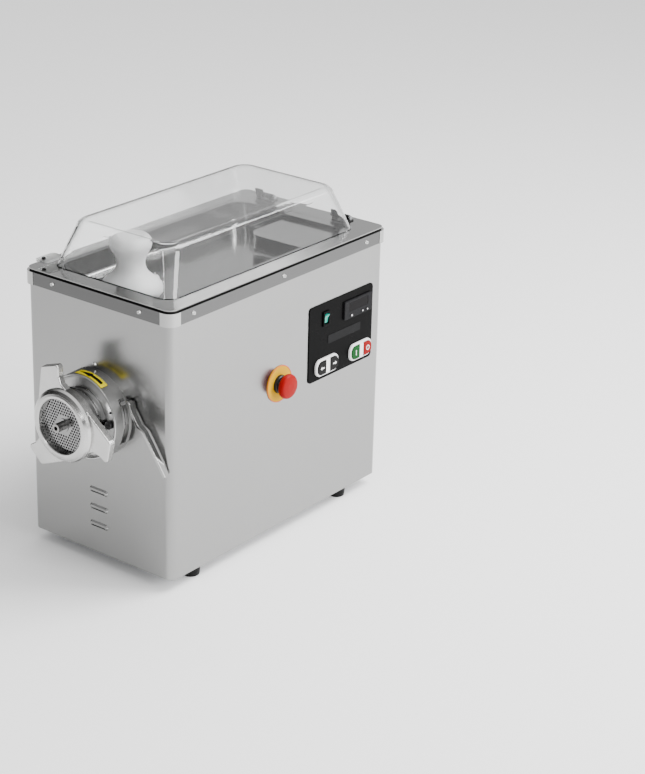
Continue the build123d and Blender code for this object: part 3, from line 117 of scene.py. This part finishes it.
def brushed(name, colour, rough, stretch, depth=0.12, spread=0.05):
    """Sheet steel: fine grain along one axis, with broad soft smears in its sheen."""
    made, tree, shader = new_material(name, metallic=1.0)
    grain = noise(tree, 110.0, stretch, 4.0, 0.65)
    smears = noise(tree, 7.0, (1, 1, 1), 2.0)
    mixed = tree.nodes.new("ShaderNodeMath")
    mixed.operation = "ADD"
    tree.links.new(ramp(tree, grain, rough - spread, rough + spread), mixed.inputs[0])
    tree.links.new(ramp(tree, smears, -0.03, 0.03), mixed.inputs[1])
    tree.links.new(mixed.outputs[0], shader.inputs["Roughness"])
    tree.links.new(
        blend_colour(tree, grain, shade(colour, 0.95), shade(colour, 1.04)),
        shader.inputs["Base Color"],
    )
    add_bump(tree, shader, grain, depth, 0.00005)
    return made


def cast(name, colour, rough, depth=0.35, grain_scale=900.0):
    """Blasted casting or forged steel: an even fine grain over a soft unevenness."""
    made, tree, shader = new_material(name, metallic=1.0)
    grain = noise(tree, grain_scale, detail=2.0)
    waves = noise(tree, 45.0, detail=3.0)
    tree.links.new(ramp(tree, waves, rough - 0.06, rough + 0.06), shader.inputs["Roughness"])
    tree.links.new(
        blend_colour(tree, waves, shade(colour, 0.92), shade(colour, 1.05)),
        shader.inputs["Base Color"],
    )
    soft = add_bump(tree, shader, waves, 0.15, 0.0004)
    add_bump(tree, shader, grain, depth, 0.00008, soft)
    return made


def polished(name, colour, rough, ring_scale=(1, 900, 1)):
    """Turned and polished steel with faint tool rings."""
    made, tree, shader = new_material(name, metallic=1.0)
    rings = noise(tree, 1.0, ring_scale, 2.0)
    spots = noise(tree, 90.0, detail=3.0)
    tree.links.new(ramp(tree, spots, rough, rough + 0.07), shader.inputs["Roughness"])
    tree.links.new(
        blend_colour(tree, spots, shade(colour, 0.96), colour), shader.inputs["Base Color"]
    )
    add_bump(tree, shader, rings, 0.06, 0.00004)
    return made


def moulded(name, colour, rough, depth=0.1, grain_scale=1400.0, metallic=0.0, **sockets):
    """Moulded plastic, paint or rubber: fine grain and a slight drift of tone and sheen."""
    made, tree, shader = new_material(name, metallic=metallic, **sockets)
    grain = noise(tree, grain_scale, detail=2.0)
    drift = noise(tree, 30.0, detail=3.0)
    tree.links.new(ramp(tree, drift, rough - 0.05, rough + 0.06), shader.inputs["Roughness"])
    tree.links.new(
        blend_colour(tree, drift, shade(colour, 0.93), shade(colour, 1.06)),
        shader.inputs["Base Color"],
    )
    add_bump(tree, shader, grain, depth, 0.00005)
    return made


def clear(name, colour, rough):
    """Clear polycarbonate: light bends through its two skins, which are faintly uneven."""
    made, tree, shader = new_material(
        name, base_color=colour, roughness=rough, transmission_weight=1.0, ior=1.45
    )
    unevenness = noise(tree, 12.0, detail=2.0)
    add_bump(tree, shader, unevenness, 0.03, 0.0004)
    return made


# stretch of a brushed grain, short across it and long along it
VERTICAL_GRAIN = (14, 14, 0.35)
LENGTH_GRAIN = (14, 0.35, 14)
CROSS_GRAIN = (0.35, 14, 14)

casing_steel = brushed("casing_steel", (0.31, 0.31, 0.307), 0.24, VERTICAL_GRAIN, 0.012, 0.012)
cover_steel = brushed("cover_steel", (0.31, 0.31, 0.307), 0.27, VERTICAL_GRAIN, 0.012, 0.012)
# the rim bands' steel is darkened far below the casing's as painted shade, standing in for the dark
# reflection on the front band
band_steel_painted_shade = brushed("band_steel_painted_shade", (0.115, 0.115, 0.115), 0.22, (0.5, 0.5, 14), 0.02, 0.02)
# the corner caps' steel is lightened above the casing's as a painted highlight, standing in for the
# even light their rounded faces reflect
cap_steel = brushed("cap_steel", (0.42, 0.42, 0.415), 0.20, VERTICAL_GRAIN, 0.02, 0.02)
tray_steel = brushed("tray_steel", (0.27, 0.27, 0.268), 0.15, LENGTH_GRAIN, 0.0, 0.01)
inner_steel = brushed("inner_steel", (0.50, 0.51, 0.52), 0.45, CROSS_GRAIN, 0.2)
screw_steel = polished("screw_steel", (0.62, 0.62, 0.61), 0.14, (200, 200, 200))
drum_cast = cast("drum_cast", (0.46, 0.46, 0.455), 0.34, 0.45)
nut_cast = cast("nut_cast", (0.56, 0.558, 0.55), 0.22, 0.12)
worm_cast = cast("worm_cast", (0.30, 0.295, 0.29), 0.22, 0.20)
knife_steel = cast("knife_steel", (0.36, 0.36, 0.36), 0.34, 0.30, 1400.0)
plate_steel = cast("plate_steel", (0.28, 0.28, 0.28), 0.22, 0.15, 1400.0)
barrel_steel = polished("barrel_steel", (0.46, 0.46, 0.46), 0.04)
lever_steel = polished("lever_steel", (0.42, 0.42, 0.415), 0.06, (300, 1, 300))
gear_steel = brushed("gear_steel", (0.42, 0.42, 0.44), 0.34, (14, 0.4, 14), 0.2)
gearbox_iron = moulded("gearbox_iron", (0.10, 0.12, 0.15), 0.5, 0.5, 700.0, 0.3)
motor_paint = moulded("motor_paint", (0.14, 0.15, 0.17), 0.42, 0.25, 900.0)
windings = polished("windings", (0.48, 0.20, 0.10), 0.3, (900, 20, 900))
compressor_paint = moulded("compressor_paint", (0.012, 0.012, 0.013), 0.28, 0.15, 900.0)
fin_metal = brushed("fin_metal", (0.68, 0.69, 0.70), 0.36, VERTICAL_GRAIN, 0.2)
copper = polished("copper", (0.72, 0.36, 0.22), 0.24, (40, 40, 40))
rubber = moulded("rubber", (0.005, 0.005, 0.005), 0.62, 0.35, 900.0, specular_ior_level=0.15)
black_plastic = moulded(
    "black_plastic", (0.006, 0.006, 0.0065), 0.36, 0.22, specular_ior_level=0.3
)
fascia_film = moulded(
    "fascia_film", (0.0015, 0.0015, 0.0016), 0.30, 0.12, 2200.0, specular_ior_level=0.03
)
thermostat_plastic = moulded(
    "thermostat_plastic", (0.008, 0.008, 0.009), 0.42, 0.2, specular_ior_level=0.06
)
window_gloss = moulded(
    "window_gloss", (0.002, 0.0015, 0.002), 0.12, 0.02, specular_ior_level=0.06
)
key_plastic = moulded("key_plastic", (0.010, 0.010, 0.011), 0.4, 0.2, specular_ior_level=0.06)
rocker_green = moulded(
    "rocker_green", (0.004, 0.26, 0.19), 0.22, 0.05,
    emission_color=(0.01, 0.50, 0.36), emission_strength=0.12,
)
bezel_silver = moulded("bezel_silver", (0.72, 0.72, 0.72), 0.30, 0.08)
lens_white = moulded("lens_white", (0.86, 0.86, 0.85), 0.18, 0.04)
button_black = moulded("button_black", (0.002, 0.002, 0.002), 0.30, 0.2, specular_ior_level=0.08)
button_green = moulded("button_green", (0.0008, 0.055, 0.008), 0.40, 0.06, specular_ior_level=0.08)
button_red = moulded("button_red", (0.20, 0.0003, 0.0005), 0.40, 0.06, specular_ior_level=0.08)
label_yellow = moulded("label_yellow", (0.56, 0.30, 0.0), 0.50, 0.04, specular_ior_level=0.08)
arrow_yellow = moulded("arrow_yellow", (0.80, 0.66, 0.0), 0.45, 0.04, specular_ior_level=0.10)
mushroom_red = moulded("mushroom_red", (0.24, 0.0, 0.0002), 0.40, 0.04, specular_ior_level=0.10)
stem_grey = moulded("stem_grey", (0.35, 0.36, 0.37), 0.4)
control_grey = moulded("control_grey", (0.42, 0.43, 0.44), 0.45)
pestle_white = moulded("pestle_white", (0.97, 0.97, 0.965), 0.30, 0.08)
print_black = moulded("print_black", (0.002, 0.002, 0.002), 0.4, 0.05, specular_ior_level=0.2)
print_white = moulded("print_white", (0.85, 0.85, 0.85), 0.4, 0.05)
print_red = moulded("print_red", (0.55, 0.02, 0.02), 0.4, 0.05)
strip_grey = moulded("strip_grey", (0.010, 0.010, 0.0105), 0.60, 0.02, specular_ior_level=0.06)
dome_clear = clear("dome_clear", (0.985, 0.99, 0.99), 0.0)
tab_clear = clear("tab_clear", (0.93, 0.94, 0.93), 0.35)

FINISHES = {
    casing_steel: ["casing_shell"],
    cover_steel: ["rear_cover"],
    band_steel_painted_shade: ["rim_bands"],
    cap_steel: ["rim_corner_caps"],
    tray_steel: ["feed_tray"],
    inner_steel: ["base_plate", "front_support", "unit_shelf", "feed_throat", "lid_hinge_pins"],
    screw_steel: ["screws"],
    drum_cast: ["head_drum"],
    nut_cast: ["ring_nut"],
    worm_cast: ["worm_auger"],
    knife_steel: ["knife"],
    plate_steel: ["perforated_plate"],
    barrel_steel: ["head_barrel", "lock_ring"],
    lever_steel: ["lock_lever"],
    gear_steel: ["output_shaft", "layshaft", "gearbox_bearings", "motor_rotor"],
    gearbox_iron: ["gearbox_housing"],
    motor_paint: ["motor_housing"],
    windings: ["motor_stator"],
    compressor_paint: ["compressor"],
    fin_metal: ["condenser", "cooling_sleeve"],
    copper: ["evaporator_coil"],
    rubber: ["tray_gasket", "feet"],
    black_plastic: [
        "drum_plug", "cord_gland", "condenser_fan", "fan_shroud",
        "estop_collar", "lid_hinge_brackets", "lid_hinge_leaves",
    ],
    fascia_film: ["panel_fascia", "rocker_frame"],
    thermostat_plastic: ["thermostat_body"],
    window_gloss: ["thermostat_window"],
    key_plastic: ["thermostat_key_1", "thermostat_key_2", "thermostat_key_3"],
    rocker_green: ["rocker"],
    bezel_silver: ["button_bezels"],
    lens_white: ["button_lenses"],
    button_black: ["reverse_button", "forward_button"],
    button_green: ["start_button"],
    button_red: ["stop_button"],
    label_yellow: ["estop_label"],
    mushroom_red: ["estop_mushroom"],
    stem_grey: ["estop_stem"],
    control_grey: ["control_box"],
    pestle_white: ["pestle"],
    dome_clear: ["lid_dome"],
    tab_clear: ["lid_lift_tab"],
}
for finish, names in FINISHES.items():
    for name in names:
        data = nodes[name].data
        data.materials.clear()
        data.materials.append(finish)


# ---- pieces that only Blender holds -----------------------------------------------------------------
def add_piece(name, mesh, finish, body, bevel=0.0):
    """Links a mesh as a piece that rides on a body, with softened edges."""
    mesh.materials.append(finish)
    piece = bpy.data.objects.new(name, mesh)
    bpy.context.scene.collection.objects.link(piece)
    if bevel:
        rounding = piece.modifiers.new("rounding", "BEVEL")
        rounding.width = bevel
        rounding.segments = 3
        rounding.limit_method = "ANGLE"
    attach(piece, body)
    return piece


def close_form(form, name):
    """Turns a finished form into a mesh with its faces turned outwards."""
    bmesh.ops.recalc_face_normals(form, faces=form.faces)
    mesh = bpy.data.meshes.new(name)
    form.to_mesh(mesh)
    form.free()
    return mesh


def raised(name, outline, place, depth):
    """A closed flat outline stood off a surface: place maps (across, up, out) to a point."""
    form = bmesh.new()
    low = [form.verts.new(place(x, y, 0.0)) for x, y in outline]
    high = [form.verts.new(place(x, y, depth)) for x, y in outline]
    form.faces.new(high)
    form.faces.new(list(reversed(low)))
    for k in range(len(outline)):
        n = (k + 1) % len(outline)
        form.faces.new((low[k], low[n], high[n], high[k]))
    return close_form(form, name)


def raised_ring(name, inner, outer, place, depth, sides=64):
    """A flat ring stood off a surface."""
    form = bmesh.new()
    loops = []
    angles = [2 * pi * k / sides for k in range(sides)]
    for radius, out in ((inner, 0.0), (outer, 0.0), (outer, depth), (inner, depth)):
        loops.append([form.verts.new(place(radius * cos(a), radius * sin(a), out)) for a in angles])
    for first, second in zip(loops, loops[1:] + loops[:1]):
        for k in range(sides):
            n = (k + 1) % sides
            form.faces.new((first[k], first[n], second[n], second[k]))
    return close_form(form, name)


def rounded_outline(width, height, radius, steps=6):
    """Corner points of a rectangle with round corners, round its middle."""
    points = []
    for k, (sx, sy) in enumerate(((1, 1), (-1, 1), (-1, -1), (1, -1))):
        for step in range(steps + 1):
            angle = pi / 2 * (k + step / steps)
            x = sx * (width / 2 - radius) + radius * cos(angle)
            y = sy * (height / 2 - radius) + radius * sin(angle)
            points.append((x, y))
    return points


def side_place(node, across=0.5, up=0.5):
    """Places a flat outline on the right-hand face of a node, across along +Y and up along +Z."""
    low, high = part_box(node)
    middle = Vector((high.x, low.y + across * (high.y - low.y), low.z + up * (high.z - low.z)))
    return lambda x, y, out: middle + Vector((out, x, y))


PRINT = 0.25 * MM  # how far a printed mark stands off its face

# blank strip on the control panel
STRIP_WIDTH, STRIP_HEIGHT, STRIP_CORNER, STRIP_DEPTH = 85 * MM, 14 * MM, 2 * MM, 0.6 * MM
strip = raised(
    "name_strip",
    rounded_outline(STRIP_WIDTH, STRIP_HEIGHT, STRIP_CORNER),
    side_place("panel_fascia", 0.55, 0.49),
    STRIP_DEPTH,
)
add_piece("name_strip", strip, strip_grey, "casing", 0.15 * MM)

# arrows, bar and ring on the four buttons, in millimetres
ARROW = [(-5.2, 0), (-1.6, 3.0), (-1.6, 1.1), (4.4, 1.1), (4.4, -1.1), (-1.6, -1.1), (-1.6, -3.0)]
for body, sign in (("reverse", 1), ("forward", -1)):
    outline = [(sign * x * MM, y * MM) for x, y in ARROW]
    name = body + "_arrow"
    mesh = raised(name, outline, side_place(body + "_button"), PRINT)
    add_piece(name, mesh, print_white, body)
BAR_WIDTH, BAR_HEIGHT, BAR_CORNER = 1.6 * MM, 9 * MM, 0.6 * MM
bar = raised(
    "start_bar", rounded_outline(BAR_WIDTH, BAR_HEIGHT, BAR_CORNER), side_place("start_button"), PRINT
)
add_piece("start_bar", bar, print_white, "start")
RING_INNER, RING_OUTER = 3.0 * MM, 4.3 * MM
ring = raised_ring("stop_ring", RING_INNER, RING_OUTER, side_place("stop_button"), PRINT, 40)
add_piece("stop_ring", ring, print_white, "stop")

# legends on the thermostat's keys, in millimetres
LEGENDS = {
    1: [(-1.6, -1.1), (1.6, -1.1), (1.6, 1.1), (-1.6, 1.1)],
    2: [(-1.9, 1.0), (0, -1.3), (1.9, 1.0)],
    3: [(-1.9, -1.0), (1.9, -1.0), (0, 1.3)],
}
for number, outline in LEGENDS.items():
    node = f"thermostat_key_{number}"
    points = [(x * MM, y * MM) for x, y in outline]
    mesh = raised(f"key_legend_{number}", points, side_place(node), PRINT)
    add_piece(f"key_legend_{number}", mesh, print_white, f"key_{number}")

# red edge on the emergency stop's disc
EDGE_INNER, EDGE_OUTER = 28.9 * MM, 30 * MM
edge = raised_ring("estop_edge", EDGE_INNER, EDGE_OUTER, side_place("estop_label"), PRINT, 96)
add_piece("estop_edge", edge, print_red, "casing")

# black bumper through the lid's tab
tab_low, tab_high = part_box("lid_lift_tab")
BUMPER_R = 3.2 * MM
BUMPER_SIDES = 32
BUMPER_BELOW = 1.5 * MM
BUMPER_EXTRA = 3.2 * MM  # its height past the tab's own thickness
bumper_foot = Vector((tab_low.x + 9 * MM, tab_low.y + 11 * MM, tab_low.z - BUMPER_BELOW))


def bumper_place(x, y, out):
    return bumper_foot + Vector((x, y, out))


angles = [2 * pi * k / BUMPER_SIDES for k in range(BUMPER_SIDES)]
circle = [(BUMPER_R * cos(a), BUMPER_R * sin(a)) for a in angles]
bumper = raised("tab_bumper", circle, bumper_place, tab_high.z - tab_low.z + BUMPER_EXTRA)
add_piece("tab_bumper", bumper, rubber, "lid", 0.7 * MM)

# yellow label with a black arrow, wrapped over the front of the drum
drum_low, drum_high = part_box("head_drum")
HEAD_X = (drum_low.x + drum_high.x) / 2
HEAD_Z = (drum_low.z + drum_high.z) / 2
DRUM_R = (drum_high.x - drum_low.x) / 2
LABEL_GAP = 0.05 * MM  # between the drum and the label's underside


def wrapped(name, outline, stand, columns=28):
    """A thin patch bent round the drum: outline gives its angle and two edges along its run."""
    form = bmesh.new()
    rows = []
    for k in range(columns + 1):
        angle, near, far = outline(k / columns)
        row = []
        for radius in (DRUM_R + LABEL_GAP, DRUM_R + stand):
            x = HEAD_X + radius * cos(radians(angle))
            z = HEAD_Z + radius * sin(radians(angle))
            row += [form.verts.new((x, drum_low.y + depth, z)) for depth in (near, far)]
        rows.append(row)
    for first, second in zip(rows, rows[1:]):
        for a, b in ((0, 1), (1, 3), (3, 2), (2, 0)):
            form.faces.new((first[a], first[b], second[b], second[a]))
    for row in (rows[0], rows[-1]):
        form.faces.new((row[0], row[1], row[3], row[2]))
    bmesh.ops.remove_doubles(form, verts=form.verts, dist=1e-6)
    return close_form(form, name)


# degrees round the drum, and depths behind its front face
LABEL_FROM, LABEL_TO = 102.0, 56.0
LABEL_NEAR, LABEL_FAR = 1.5 * MM, 15.5 * MM
ARROW_FROM, ARROW_TO = 98.0, 61.0
ARROW_MIDDLE = 8.5 * MM
TIP_HALF, HEAD_SPREAD, SHAFT_HALF = 0.2 * MM, 10.8 * MM, 2.9 * MM


def label_edges(along):
    """Angle and edges of the label, whose edges are straight."""
    return LABEL_FROM + along * (LABEL_TO - LABEL_FROM), LABEL_NEAR, LABEL_FAR


def arrow_edges(along):
    """Angle and edges of the arrow: its head over half of its run, then a straight shaft."""
    half = TIP_HALF + along * HEAD_SPREAD if along < 0.5 else SHAFT_HALF
    return ARROW_FROM + along * (ARROW_TO - ARROW_FROM), ARROW_MIDDLE - half, ARROW_MIDDLE + half


label = wrapped("arrow_label", label_edges, 0.3 * MM)
add_piece("arrow_label", label, arrow_yellow, "casing")
arrow = wrapped("arrow_print", arrow_edges, 0.45 * MM, 60)
add_piece("arrow_print", arrow, print_black, "casing")

# ---- floor and lights -------------------------------------------------------------------------------
FLOOR_HALF = 6.0
floor_mesh = bpy.data.meshes.new("floor")
corners = [(x * FLOOR_HALF, y * FLOOR_HALF, 0) for x, y in ((-1, -1), (1, -1), (1, 1), (-1, 1))]
floor_mesh.from_pydata(corners, [], [(0, 1, 2, 3)])
floor_paint = new_material("floor_paint", base_color=(0.97, 0.97, 0.97), roughness=0.9)[0]
floor_mesh.materials.append(floor_paint)
floor = bpy.data.objects.new("floor", floor_mesh)
bpy.context.scene.collection.objects.link(floor)

world = bpy.data.worlds.new("studio")
bpy.context.scene.world = world
world.use_nodes = True
tree = world.node_tree
background = tree.nodes["Background"]
background.inputs["Color"].default_value = (1, 1, 1, 1)
# the room is brightest overhead, to the right and behind the object, and dim on the other side
BRIGHT_SIDE = (0.45, 0.55, 0.70)
DIM, BRIGHT = 0.03, 1.7
direction = tree.nodes.new("ShaderNodeTexCoord")
towards = tree.nodes.new("ShaderNodeVectorMath")
towards.operation = "DOT_PRODUCT"
towards.inputs[1].default_value = BRIGHT_SIDE
tree.links.new(direction.outputs["Generated"], towards.inputs[0])
strength = ramp(tree, towards.outputs["Value"], DIM, BRIGHT, -0.35, 0.9)
tree.links.new(strength, background.inputs["Strength"])

MIDDLE = Vector((0, 0, 0.26))


def softbox(name, place, width, height, power):
    """A rectangular area light aimed at the middle of the object."""
    data = bpy.data.lights.new(name, "AREA")
    data.shape = "RECTANGLE"
    data.size = width
    data.size_y = height
    data.energy = power
    light = bpy.data.objects.new(name, data)
    light.location = place
    light.rotation_euler = (MIDDLE - Vector(place)).to_track_quat("-Z", "Y").to_euler()
    bpy.context.scene.collection.objects.link(light)


softbox("top_light", (1.3, 1.3, 2.6), 1.8, 1.8, 150)
softbox("right_light", (2.9, 0.1, 1.4), 1.2, 1.2, 75)
softbox("front_light", (0.9, -3.0, 1.6), 0.22, 1.9, 16)
